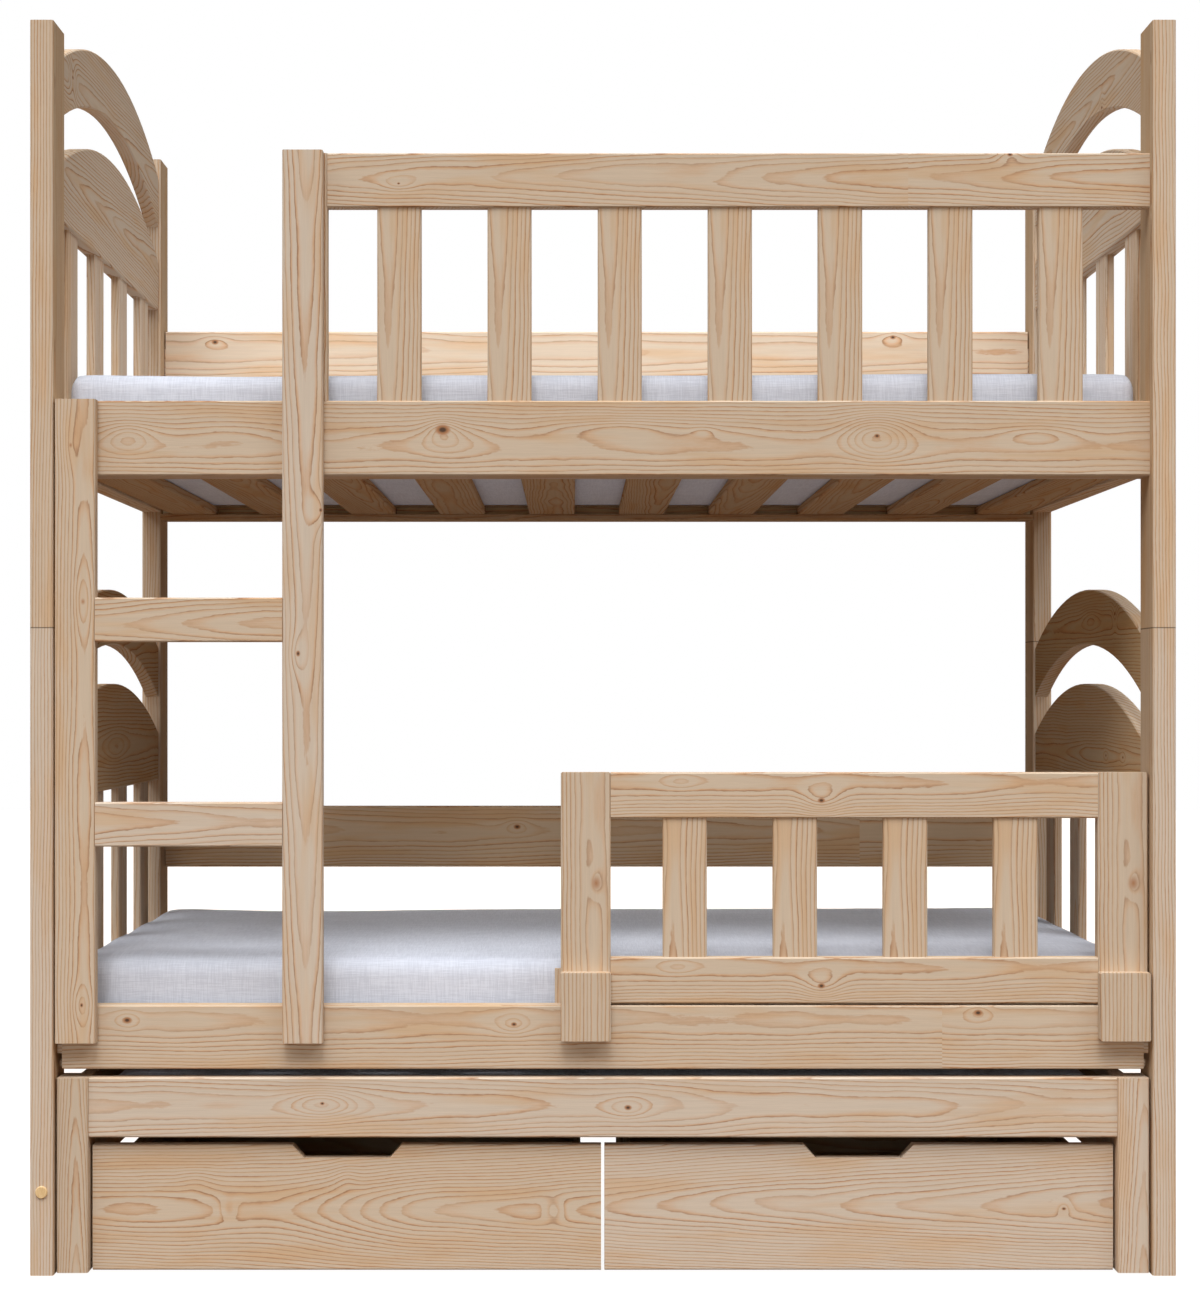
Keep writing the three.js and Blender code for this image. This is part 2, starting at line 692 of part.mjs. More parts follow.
// Front rail of the roll-out bed with its ledger; the back one is its mirror image
function trundleRail() {
  const bottom = trundle.height - trundle.railHeight;
  const inner = trundle.railSetBack + trundle.railThickness;
  const face = board(
    [-trundleInnerX, trundle.railSetBack, bottom], [trundleInnerX, inner, trundle.height], 'x');
  const strip = board(
    [-trundleInnerX, inner - fit.bite, bottom],
    [trundleInnerX, inner + trundle.ledgerWidth, bottom + trundle.ledgerHeight],
    'x', fit.bite / 2);
  return joined([face, strip]);
}

// A small wheel with its pin, turned in one piece about X
function casterWheel() {
  const half = caster.width / 2;
  const pinEnd = legCentre - caster.pinInset;
  return turnedAboutX([
    [0, -pinEnd], [caster.pinRadius, -pinEnd], [caster.pinRadius, -half],
    [caster.radius - caster.rim, -half], [caster.radius, -half + caster.rim],
    [caster.radius, half - caster.rim], [caster.radius - caster.rim, half],
    [caster.pinRadius, half], [caster.pinRadius, pinEnd], [0, pinEnd],
  ]);
}

// The roll-out bed: ends, rails, slats, mattress and wheels
function trundleGroup() {
  const group = new THREE.Group();
  group.position.set(0, frontY + trundle.setBack, casterFloor);
  group.add(piece('trundle_end_left', trundleEnd(-1), pine));
  group.add(piece('trundle_end_right', trundleEnd(1), pine));
  group.add(piece('trundle_front_rail', trundleRail(), pine));
  const back = piece('trundle_back_rail', trundleRail(), pineShade, [0, trundleDepth, 0]);
  back.rotation.z = Math.PI;
  group.add(back);
  const inner = trundle.railSetBack + trundle.railThickness;
  const middleY = trundleDepth / 2;
  const slatLow = trundle.height - trundle.railHeight + trundle.ledgerHeight;
  const halfDepth = middleY - inner;
  const slats = slatSet(trundleInnerX, halfDepth - slatBase.endRoom, trundle.slatThickness);
  group.add(piece('trundle_slat_base', slats, pineShade, [0, middleY, slatLow]));
  const bedLow = slatLow + trundle.slatThickness + tapeRise;
  const length = 2 * (trundleInnerX - trundle.mattressEndRoom);
  const width = 2 * (halfDepth - trundle.mattressSideRoom);
  const form = foamMattress(length, width, trundle.mattressHeight);
  group.add(piece('trundle_mattress', form, linen, [0, middleY, bedLow], 0.9));
  for (const corner of corners) {
    const x = corner.x * (trundleX - legCentre);
    const y = middleY + corner.y * (middleY - legCentre);
    const name = `trundle_wheel_${corner.name}`;
    group.add(piece(name, casterWheel(), grey, [x, y, caster.radius], 0.5));
  }
  return group;
}

// Width of one drawer front, and the middle of the left and right drawers
const drawerEnd = trundleInnerX - drawer.legRoom;
const drawerWidth = drawerEnd - drawer.middleGap / 2;
const drawerMiddle = (drawerEnd + drawer.middleGap / 2) / 2;

// A drawer front with its sloped finger notch, from its own middle and the floor
function drawerFront() {
  const half = drawerWidth / 2;
  const top = drawer.floorRoom + drawer.frontHeight;
  const face = board([-half, 0, drawer.floorRoom], [half, drawer.frontThickness, top], 'x');
  const notch = new THREE.Shape();
  const slope = (drawer.notchTop - drawer.notchBottom) / drawer.notchDepth;
  const upper = (drawer.notchTop + slope * 2 * fit.cut) / 2;
  notch.moveTo(-drawer.notchBottom / 2, -drawer.notchDepth);
  notch.lineTo(drawer.notchBottom / 2, -drawer.notchDepth);
  notch.lineTo(upper, fit.cut);
  notch.lineTo(-upper, fit.cut);
  notch.closePath();
  const run = drawer.frontThickness + 2 * fit.cut;
  const cut = new THREE.ExtrudeGeometry(notch, { depth: run, bevelEnabled: false });
  cut.rotateX(Math.PI / 2).translate(0, drawer.frontThickness + fit.cut, top);
  return joined([face], [cut]);
}

// Places of the two axles behind the drawer front
const axleYs = [
  drawer.frontThickness + wheel.axleInset,
  drawer.frontThickness + drawer.boxDepth - wheel.axleInset,
];

// The carcass: two sides, a back and a bottom let into them, bored for the axles
function drawerBox() {
  const half = drawerWidth / 2 - drawer.boxInset;
  const near = drawer.frontThickness;
  const far = near + drawer.boxDepth;
  const sidesOfBox = [-half, half - drawer.wall].map((x) =>
    board([x, near, drawer.boxBottom], [x + drawer.wall, far, drawer.boxTop], 'y', fit.bite / 2));
  const back = board(
    [-half + fit.bite, far - drawer.wall, drawer.boxBottom],
    [half - fit.bite, far, drawer.boxTop], 'x', fit.bite / 2);
  const bottom = block(
    [-half + drawer.wall / 2, near, drawer.floorBottom],
    [half - drawer.wall / 2, far - drawer.wall / 2, drawer.floorBottom + drawer.floorThickness]);
  const holeRadius = wheel.axleRadius + fit.seat;
  const holes = axleYs.map((y) =>
    rod(holeRadius, 'x', -half - fit.cut, half + fit.cut, [y, wheel.radius]));
  return joined([...sidesOfBox, back, bottom], holes);
}

// An axle with a wheel pressed on each end, turned in one piece about X
function wheelSet() {
  const inner = drawerWidth / 2 - drawer.boxInset + wheel.room;
  const outer = inner + wheel.width;
  const half = [
    [wheel.axleRadius, inner], [wheel.radius - wheel.rim, inner], [wheel.radius, inner + wheel.rim],
    [wheel.radius, outer - wheel.rim], [wheel.radius - wheel.rim, outer],
    [wheel.hubRadius, outer], [wheel.hubRadius - wheel.rim, outer + wheel.hubRise],
    [0, outer + wheel.hubRise],
  ];
  const mirrored = half.map(([radius, x]) => [radius, -x]).reverse();
  return turnedAboutX([...mirrored, ...half]);
}

// One drawer, behind the roll-out bed's front plane
function drawerGroup(name, side) {
  const group = new THREE.Group();
  const y = frontY + trundle.setBack + drawer.setBack;
  group.position.set(side * drawerMiddle, y, casterFloor);
  group.add(piece(`${name}_drawer_front`, drawerFront(), pine));
  group.add(piece(`${name}_drawer_box`, drawerBox(), pineShade));
  axleYs.forEach((axleY, index) => {
    const place = [0, axleY, wheel.radius];
    const label = index === 0 ? 'front' : 'rear';
    group.add(piece(`${name}_drawer_${label}_wheels`, wheelSet(), grey, place, 0.5));
  });
  return group;
}

// The whole bed, moved back by half of what the lower guard's blocks stand out before the posts,
// so that the origin is the middle of its footprint
function tripleBunkBed() {
  const whole = new THREE.Group();
  const standsOut = lowerGuard.blockThickness + fit.seat - rail.setBack;
  whole.position.set(0, standsOut / 2, 0);
  for (const corner of corners) whole.add(lowerPost(corner), upperPost(corner));
  whole.add(coverCap());
  for (const side of [-1, 1]) {
    whole.add(endFrameGroup('lower', post.lowerHeight - endFrame.lowerDrop, side));
    whole.add(endFrameGroup('upper', post.lowerHeight + endFrame.upperRise, side));
  }
  whole.add(bedRails(), backBoards(), bunkBeds());
  whole.add(ladderGroup(), upperGuard(), lowerGuardGroup());
  whole.add(trundleGroup(), drawerGroup('left', -1), drawerGroup('right', 1));
  return whole;
}

export default tripleBunkBed();
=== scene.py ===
import math
import bpy
import numpy as np
from mathutils import Matrix, Vector


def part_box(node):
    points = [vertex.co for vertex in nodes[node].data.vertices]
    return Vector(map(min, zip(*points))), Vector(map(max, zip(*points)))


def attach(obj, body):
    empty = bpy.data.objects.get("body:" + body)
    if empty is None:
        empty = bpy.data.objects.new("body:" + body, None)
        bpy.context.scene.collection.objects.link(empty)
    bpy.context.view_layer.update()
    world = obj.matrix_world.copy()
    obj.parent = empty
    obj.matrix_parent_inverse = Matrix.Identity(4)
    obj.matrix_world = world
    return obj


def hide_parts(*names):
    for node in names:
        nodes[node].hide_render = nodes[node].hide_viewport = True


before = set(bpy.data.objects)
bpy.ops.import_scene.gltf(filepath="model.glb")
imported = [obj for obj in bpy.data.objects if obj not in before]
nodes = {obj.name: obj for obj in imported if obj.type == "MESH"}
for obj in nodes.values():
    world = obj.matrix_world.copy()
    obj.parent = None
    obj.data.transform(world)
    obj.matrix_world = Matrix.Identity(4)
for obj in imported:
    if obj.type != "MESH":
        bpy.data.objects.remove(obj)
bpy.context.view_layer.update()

# The photograph's camera: level, a little to the left of the middle, with a small shift
cameraValues = {
    "place": (-0.044, -3.54535, 0.852),
    "lens": 58.171,
    "shift": (0.02058, 0.02934),
}


def makeCamera(values):
    data = bpy.data.cameras.new("photoCamera")
    data.sensor_width = 36
    data.lens = values["lens"]
    data.shift_x, data.shift_y = values["shift"]
    data.clip_end = 100
    camera = bpy.data.objects.new("photoCamera", data)
    camera.location = values["place"]
    camera.rotation_euler = (math.pi / 2, 0, 0)
    bpy.context.scene.collection.objects.link(camera)
    bpy.context.scene.camera = camera


makeCamera(cameraValues)
print("stage: camera")


# A colour as read off a screen, from 0 to 255, turned into the linear values that nodes take
def tone(red, green, blue):
    screen = np.array([red, green, blue]) / 255
    linear = np.where(screen <= 0.04045, screen / 12.92, ((screen + 0.055) / 1.055) ** 2.4)
    return (*linear.tolist(), 1.0)


# Small hands for building node trees: add makes a node, calc a Math node, vec a Vector Math node,
# noise a noise's value, blend a colour mix
class Tree:
    def __init__(self, tree):
        self.tree = tree

    def add(self, kind, values=None, **settings):
        node = self.tree.nodes.new(kind)
        for name, value in settings.items():
            setattr(node, name, value)
        self.fill(node, values or {})
        return node

    def fill(self, node, values):
        for key, value in values.items():
            if isinstance(value, bpy.types.NodeSocket):
                self.tree.links.new(value, node.inputs[key])
            else:
                node.inputs[key].default_value = value

    def calc(self, operation, *values):
        return self.add("ShaderNodeMath", dict(enumerate(values)), operation=operation).outputs[0]

    def vec(self, operation, *values):
        node = self.add("ShaderNodeVectorMath", dict(enumerate(values)), operation=operation)
        return node.outputs[0]

    def scaled(self, vector, factor):
        values = {"Vector": vector, "Scale": factor}
        return self.add("ShaderNodeVectorMath", values, operation="SCALE").outputs[0]

    def noise(self, vector, detail=2.0):
        values = {"Vector": vector, "Scale": 1.0, "Detail": detail, "Roughness": 0.55}
        return self.add("ShaderNodeTexNoise", values).outputs[0]

    def ramp(self, value, start, end):
        values = {"Value": value, "From Min": start, "From Max": end}
        node = self.add("ShaderNodeMapRange", values, interpolation_type="SMOOTHSTEP")
        return node.outputs[0]

    def blend(self, factor, first, second):
        values = {0: factor, 6: first, 7: second}
        return self.add("ShaderNodeMix", values, data_type="RGBA").outputs[2]


# A new node material, the hands for its tree, and its shader
def newMaterial(name):
    material = bpy.data.materials.new(name)
    material.use_nodes = True
    return material, Tree(material.node_tree), material.node_tree.nodes["Principled BSDF"]


# A new node group, the hands for its tree, and its inputs, from the kind of each named socket
def newGroup(name, inputs, outputs):
    group = bpy.data.node_groups.new(name, "ShaderNodeTree")
    for side, sockets in [("INPUT", inputs), ("OUTPUT", outputs)]:
        for socket, kind in sockets.items():
            group.interface.new_socket(socket, in_out=side, socket_type=f"NodeSocket{kind}")
    t = Tree(group)
    return group, t, t.add("NodeGroupInput").outputs


# 1 where the camera, gloss or glass looks, and 0 for the light that falls on the object
def seenDirectly(t):
    paths = t.add("ShaderNodeLightPath").outputs
    clear = t.calc("MAXIMUM", paths["Is Glossy Ray"], paths["Is Transmission Ray"])
    return t.calc("MAXIMUM", paths["Is Camera Ray"], clear)


# Pine, cut from a log. The colours are those of the early wood, of the soft and the sharp side of a
# ring's late wood, of the warm patches and of the knots; drift, ripple, jag and pithSpread are the
# log's unevenness in mm; late and sharp say where in a ring, from 0 to 1, its late wood and its
# sharp side rise, and turned how far aside of the pith a face shows its rings sharply
pineValues = {
    "early": tone(205, 186, 164),
    "lateSoft": tone(202, 160, 122),
    "lateSharp": tone(161, 121, 91),
    "warm": tone(204, 171, 135),
    "halo": tone(176, 127, 92),
    "knot": tone(92, 72, 60),
    "drift": 6.0,
    "ripple": 1.0,
    "jag": 0.45,
    "pithSpread": 50.0,
    "taper": 0.05,
    "late": (0.42, 0.92),
    "sharp": (0.72, 0.95),
    "turned": (0.05, 0.45),
    "patch": (0.48, 0.7),
    "patchDepth": 0.7,
    "streak": 0.16,
    "fibre": 0.14,
    "roughness": 0.56,
}


# The grain at a point of a board, whose vector is (along, across, depth) in mm: the distance from
# the log's pith, plus slow unevenness, plus the swell round knots, is cut into rings, and each
# ring darkens towards its outer edge
def makePineGrain(values):
    group, t, given = newGroup(
        "pineGrain",
        {"Board": "Vector", "Seed": "Float", "Pitch": "Float", "Pith": "Float", "Aside": "Float",
         "Taper": "Float", "Loose": "Float", "Swell": "Float", "Core": "Float"},
        {"Color": "Color", "Roughness": "Float", "Height": "Float"})
    board, seed = given["Board"], given["Seed"]
    away = t.add("ShaderNodeCombineXYZ", {
        0: t.calc("MULTIPLY", seed, 3.7), 1: t.calc("MULTIPLY", seed, 1.9), 2: seed}).outputs[0]

    def field(along, across, detail=2.0):
        stretched = t.vec("MULTIPLY", board, (along, across, across))
        return t.noise(t.vec("ADD", stretched, away), detail)

    def sway(along, across, detail, reach):  # unevenness of up to the reach either way
        return t.calc("MULTIPLY", t.calc("SUBTRACT", field(along, across, detail), 0.5), 2 * reach)

    chance = t.add("ShaderNodeTexWhiteNoise", {"W": seed}, noise_dimensions="1D").outputs["Color"]
    chances = t.add("ShaderNodeSeparateColor", {0: chance}).outputs
    spread = [t.calc("MULTIPLY", t.calc("SUBTRACT", one, 0.5), given["Loose"]) for one in chances]
    parts = t.add("ShaderNodeSeparateXYZ", {0: board}).outputs
    across = t.calc("MULTIPLY_ADD", spread[0], values["pithSpread"],
                    t.calc("SUBTRACT", parts[1], given["Aside"]))
    deep = t.calc("MULTIPLY_ADD", given["Pith"], t.calc("ADD", spread[1], 1.0), parts[2])
    radius = t.calc("SQRT", t.calc("MULTIPLY_ADD", across, across, t.calc("MULTIPLY", deep, deep)))
    slope = t.calc("MULTIPLY_ADD", spread[2], values["taper"], given["Taper"])
    taper = t.calc("MULTIPLY", parts[0], slope)
    drift = sway(0.0042, 0.012, 1.0, values["drift"])
    ripple = sway(0.02, 0.05, 3.0, values["ripple"])
    jag = sway(0.07, 0.4, 2.0, values["jag"])
    total = radius
    for part in [taper, drift, ripple, jag, given["Swell"]]:
        total = t.calc("ADD", total, part)
    rings = t.calc("DIVIDE", total, given["Pitch"])
    place = t.calc("FRACT", rings)
    number = t.calc("MULTIPLY_ADD", seed, 17.0, t.calc("FLOOR", rings))
    ringChance = t.add("ShaderNodeTexWhiteNoise", {"W": number}, noise_dimensions="1D").outputs[0]
    rise = t.ramp(place, *values["late"])
    fall = t.ramp(place, 1.0, values["late"][1])
    steep = t.ramp(t.calc("DIVIDE", t.calc("ABSOLUTE", across), radius), *values["turned"])
    strength = t.calc("MULTIPLY", t.calc("MULTIPLY_ADD", ringChance, 0.55, 0.55),
                      t.calc("MULTIPLY_ADD", steep, 0.35, 0.65))
    broken = t.calc("MULTIPLY_ADD", field(0.02, 0.3, 2.0), 1.0, 0.5)
    late = t.calc("MULTIPLY", t.calc("MULTIPLY", rise, fall), t.calc("MULTIPLY", strength, broken))
    sharp = t.calc("MULTIPLY", t.ramp(place, *values["sharp"]),
                   t.calc("MULTIPLY_ADD", steep, 0.65, 0.35))
    lateTone = t.blend(sharp, values["lateSoft"], values["lateSharp"])
    patch = t.calc("MULTIPLY", t.ramp(field(0.004, 0.03), *values["patch"]), values["patchDepth"])
    wood = t.blend(patch, values["early"], values["warm"])
    wood = t.blend(late, wood, lateTone)
    streak = t.calc("SUBTRACT", field(0.006, 0.2, 3.0), 0.5)
    fibre = t.calc("SUBTRACT", field(0.03, 1.3, 2.0), 0.5)
    light = t.calc("MULTIPLY_ADD", streak, values["streak"],
                   t.calc("MULTIPLY_ADD", fibre, values["fibre"], 1.0))
    wood = t.scaled(wood, light)
    core = given["Core"]
    wood = t.blend(t.ramp(core, 0.05, 0.5), wood, values["halo"])
    wood = t.blend(t.ramp(core, 0.45, 0.8), wood, values["knot"])
    height = t.calc("MULTIPLY_ADD", late, 0.35, fibre)
    rough = t.calc("MULTIPLY_ADD", fibre, 0.12,
                   t.calc("MULTIPLY_ADD", late, -0.06, values["roughness"]))
    t.add("NodeGroupOutput", {"Color": wood, "Roughness": rough, "Height": height})
    return group


# A figure in the grain: a bump in the distance from the pith, which closes the rings round it,
# and at its middle, where it is a knot, a core that fades out over its radius
def makeFigure():
    group, t, given = newGroup(
        "grainFigure",
        {"Board": "Vector", "Place": "Vector", "Spread": "Vector", "Lift": "Float",
         "Knot": "Vector"},
        {"Swell": "Float", "Core": "Float"})
    off = t.vec("MULTIPLY", t.vec("SUBTRACT", given["Board"], given["Place"]), (1, 1, 0))
    share = t.vec("MULTIPLY", off, given["Spread"])
    squared = t.add("ShaderNodeVectorMath", {0: share, 1: share}, operation="DOT_PRODUCT")
    bell = t.calc("EXPONENT", t.calc("MULTIPLY", squared.outputs["Value"], -1.0))
    swell = t.calc("MULTIPLY", bell, given["Lift"])
    near = t.vec("MULTIPLY", off, given["Knot"])
    reach = t.add("ShaderNodeVectorMath", {0: near}, operation="LENGTH").outputs["Value"]
    core = t.calc("MAXIMUM", t.calc("SUBTRACT", 1.0, reach), 0.0)
    t.add("NodeGroupOutput", {"Swell": swell, "Core": core})
    return group


pineGrain = makePineGrain(pineValues)
grainFigure = makeFigure()

# How a board's length, width and thickness lie: rows give along, across and depth
grains = {
    "x": ((1, 0, 0), (0, 0, 1), (0, -1, 0)),
    "z": ((0, 0, 1), (1, 0, 0), (0, 1, 0)),
    "y": ((0, 1, 0), (0, 0, 1), (1, 0, 0)),
    "slatY": ((0, 1, 0), (1, 0, 0), (0, 0, -1)),
    "slatZ": ((0, 0, 1), (0, 1, 0), (-1, 0, 0)),
}


# The point in a board's own directions, in mm, from the given middle
def boardVector(t, point, grain, middle):
    turn = Matrix(grains[grain])
    place = turn @ Vector(middle) * -1000
    values = {"Vector": point, "Location": place, "Rotation": turn.to_euler(),
              "Scale": (1000, 1000, 1000)}
    return t.add("ShaderNodeMapping", values).outputs[0]


def mixVector(t, factor, first, second):
    values = {0: factor, 4: first, 5: second}
    return t.add("ShaderNodeMix", values, data_type="VECTOR").outputs[1]


# A row of equal slats in one node: counts the slat that a point is in, moves the point to that
# slat's own middle, and gives each slat its own seed
def combVector(t, board, seed, pitch, start, step=2.73):
    parts = t.add("ShaderNodeSeparateXYZ", {0: board}).outputs
    index = t.calc("ROUND", t.calc("DIVIDE", t.calc("SUBTRACT", parts[1], start), pitch))
    middle = t.calc("MULTIPLY_ADD", index, pitch, start)
    moved = t.vec("SUBTRACT", board, t.add("ShaderNodeCombineXYZ", {1: middle}).outputs[0])
    return moved, t.calc("MULTIPLY_ADD", index, step, seed)


# What each wooden node is cut from. In mm: pitch, between rings; pith, how deep it lies; aside, how
# far from the middle; taper, how much a ring's distance grows along the board; seams, where another
# length is finger-jointed on; figures, (along, across from the middle, spread along, spread across,
# lift, core radius, negative for a pale knot); comb and row, the pitch of slats within the node and
# the first one's place.
# In metres: level, below and above, heights; blocks, walls and legs, the thickness of parts that
# are boards of their own; joint, the height of a dark joint line.
# grain is the board's direction, tint and shade its own colour and brightness, or painted light or
# shade where noted; the inward tint is painted shade on the face towards the bed's middle, where
# less light comes, and the recess tint is painted light that lifts the dark recess above a ledger
woodValues = {
    "upper_front_rail": {
        "grain": "x", "seed": 1.0, "pitch": 3.9, "pith": 28, "aside": -12, "taper": 0.004,
        "figures": [
            (-236, 12, 22, 18, -9, 10), (-228, -2, 44, 24, -8, 0), (404, 3, 46, 30, -21, 4),
            (644, 4, 56, 16, -7, 0), (-700, 0, 34, 24, -11, 0), (16, 13, 90, 17, -8, 0),
            (149, 9, 18, 8, -4, 0), (-420, 2, 50, 12, 4, 0)],
    },
    "lower_front_rail": {
        "grain": "x", "seed": 2.0, "pitch": 3.9, "pith": 26, "aside": 26, "taper": 0.006,
        "seams": [500],
        "figures": [
            (-701, 25, 18, 12, -8, 6), (-131, 19, 22, 14, -8, 4), (553, 36, 20, 12, -7, 6)],
    },
    "trundle_front_rail": {
        "grain": "x", "seed": 3.0, "pitch": 3.8, "pith": 22, "aside": 2, "taper": 0.02,
        "tint": "pale", "figures": [
            (-413, 6, 46, 20, -15, 3), (37, 0, 30, 15, -9, 5), (-560, 2, 60, 8, 4, 0)],
    },
    "left_drawer_front": {
        "grain": "x", "seed": 4.0, "pitch": 4.1, "pith": 30, "aside": -4, "taper": -0.04,
        "figures": [
            (-490, -4, 150, 70, 15, 0), (-553, -3, 14, 15, 7, 0), (-379, 46, 18, 20, -5, 0),
            (-72, -5, 16, 18, 8, 0), (-600, 40, 24, 20, -4, 0)],
    },
    "right_drawer_front": {
        "grain": "x", "seed": 5.0, "pitch": 4.1, "pith": 30, "aside": 4, "taper": -0.045,
        "tint": "pale", "figures": [(681, -2, 12, 12, 6, 3)],
    },
    "guard_top_rail": {
        "grain": "x", "seed": 6.0, "pitch": 3.8, "pith": 26, "aside": 4, "taper": -0.03,
        "level": 1.610, "seams": [450],
        "comb": {"grain": "z", "below": 1.5705, "pitch": 162.7, "start": 675.8, "aside": -15,
                 "ring": 5.4},
        "figures": [(-301, -5, 26, 12, -7, 2), (600, 38, 20, 12, -8, 4), (130, 8, 70, 12, 4, 0)],
    },
    "lower_guard_top_rail": {
        "grain": "x", "seed": 7.0, "pitch": 3.9, "pith": 22, "aside": 20, "taper": 0.006,
        "level": 0.7039, "comb": {"grain": "z", "below": 0.6705, "pitch": 162.7, "start": 121.0,
                                  "aside": -17, "ring": 6.0},
        "figures": [(322, -8, 30, 24, -11, 5), (114, 20, 26, 11, -6, 0)],
    },
    "lower_guard_bottom_rail": {
        "grain": "x", "seed": 7.0, "pitch": 3.9, "pith": 22, "aside": 20, "taper": 0.006,
        "figures": [(322, -8, 30, 24, -11, 5), (109, 20, 26, 11, -6, 0)],
    },
    "lower_back_board": {
        "grain": "x", "seed": 8.0, "pitch": 4.6, "pith": 36, "aside": 10, "taper": 0.01,
        "seams": [490], "figures": [(-148, 18, 22, 14, -8, 6)], "tint": "warm",
    },
    "upper_safety_board": {
        "grain": "x", "seed": 9.0, "pitch": 6.0, "pith": 36, "aside": 20, "taper": 0.012,
        # shade 1.28 is painted light: the board is drawn brighter for the stronger light it gets
        "seams": [490], "shade": 1.28,
        "figures": [(-711, 37, 28, 14, -9, 6), (552, 46, 26, 14, -9, 5)],
    },
    "ladder_rung_1": {"grain": "x", "seed": 10.0, "pitch": 4.0, "pith": 28, "aside": 6,
                      "taper": 0.03, "tint": "pale"},
    "ladder_rung_2": {"grain": "x", "seed": 11.0, "pitch": 4.0, "pith": 28, "aside": -6,
                      "taper": -0.03},
    "ladder_stile_left": {
        "grain": "z", "seed": 12.0, "pitch": 4.6, "pith": 28, "aside": 14, "taper": 0.006,
        "figures": [
            (988, 12, 46, 13, -9, -5), (1217, -6, 48, 13, -6, -4), (397, 10, 28, 14, -9, 3),
            (1190, 14, 60, 8, 4, 0)]},
    "ladder_stile_right": {
        "grain": "z", "seed": 13.0, "pitch": 5.6, "pith": 34, "aside": 6, "taper": -0.03,
        "tint": "pale", "figures": [(912, -6, 26, 12, -8, 4), (1122, 27, 26, 18, -10, 3)]},
    "guard_end_stile": {"grain": "z", "seed": 14.0, "pitch": 4.2, "pith": 60},
    "lower_guard_stile_left": {
        "grain": "z", "seed": 15.0, "pitch": 5.6, "pith": 30, "aside": 17, "shade": 0.96,
        "blocks": (0.0199, 0.0121),
        "figures": [(574, 20, 24, 10, 9, -13), (690, 19, 70, 9, 5, 0)]},
    "lower_guard_stile_right": {
        "grain": "z", "seed": 15.0, "pitch": 5.6, "pith": 30, "aside": 17, "shade": 0.96,
        "blocks": (0.0199, 0.0121),
        "figures": [(574, 20, 24, 10, 9, -13), (690, 19, 70, 9, 5, 0)]},
    # the back rails' inner tint is painted shade on their faces inside the bed
    "upper_back_rail": {"grain": "x", "seed": 17.0, "tint": "inner",
                        # painted light: the rail's dark inner face above the ledger, between the
                        # slats' ends, is drawn brighter
                        "recessPaintedLight": {"above": 1.1846, "rail": 0.0266, "shade": (1.75, 2.1, 2.4)}},
    "lower_back_rail": {"grain": "x", "seed": 18.0, "tint": "inner"},
    "trundle_back_rail": {"grain": "x", "seed": 19.0, "tint": "inner"},
}
for index, corner in enumerate(["front_left", "front_right", "back_left", "back_right"]):
    for storey in ["lower", "upper"]:
        seed = 20.0 + index + (5 if storey == "upper" else 0)
        # the posts' inward tint is painted shade on their faces towards the bed's middle
        woodValues[f"{storey}_post_{corner}"] = {
            "grain": "z", "seed": seed, "pitch": 4.4, "pith": 24, "taper": 0.008,
            "aside": [30, -26, 20, -18][index], "inwardShade": (0.90, 0.82, 0.71), "joint": 0.950}
woodValues["lower_post_front_left"]["tint"] = "pale"
woodValues["lower_post_front_right"]["tint"] = "pale"
woodValues["upper_post_front_right"]["shade"] = 1.05
# The cut of each end panel and arch, whose boards run front to back
endValues = {
    "upper_end_panel_left": {"pith": 12, "aside": -7, "taper": -0.037},
    "upper_end_panel_right": {"pith": 40, "aside": -30, "taper": 0.02},
    "lower_end_panel_left": {
        "pith": 30, "aside": -16, "taper": 0.0, "figures": [(12, -16, 90, 30, -14, 0)]},
    "lower_end_panel_right": {
        "pith": 36, "aside": -28, "taper": 0.0, "figures": [
            (-113, -28, 230, 34, -12, 0), (-148, -28, 13, 9, -6, 3), (-253, -28, 13, 9, -6, 3)]},
    "upper_arch_left": {
        "pith": 20, "aside": -10, "taper": -0.03, "figures": [(-298, -8, 22, 34, 14, 4)]},
    "upper_arch_right": {
        "pith": 40, "aside": 20, "taper": -0.03, "figures": [(-121, -5, 12, 22, 7, 4)]},
    "lower_arch_left": {"pith": 30, "aside": 10, "taper": 0.02},
    "lower_arch_right": {
        # a deeper painted shade on this arch's inward face
        "pith": 34, "aside": 30, "taper": 0.01, "inwardShade": (0.84, 0.72, 0.53), "figures": [
            (-204, 42, 16, 24, 9, 4), (-46, 38, 55, 20, -10, 0)]},
}
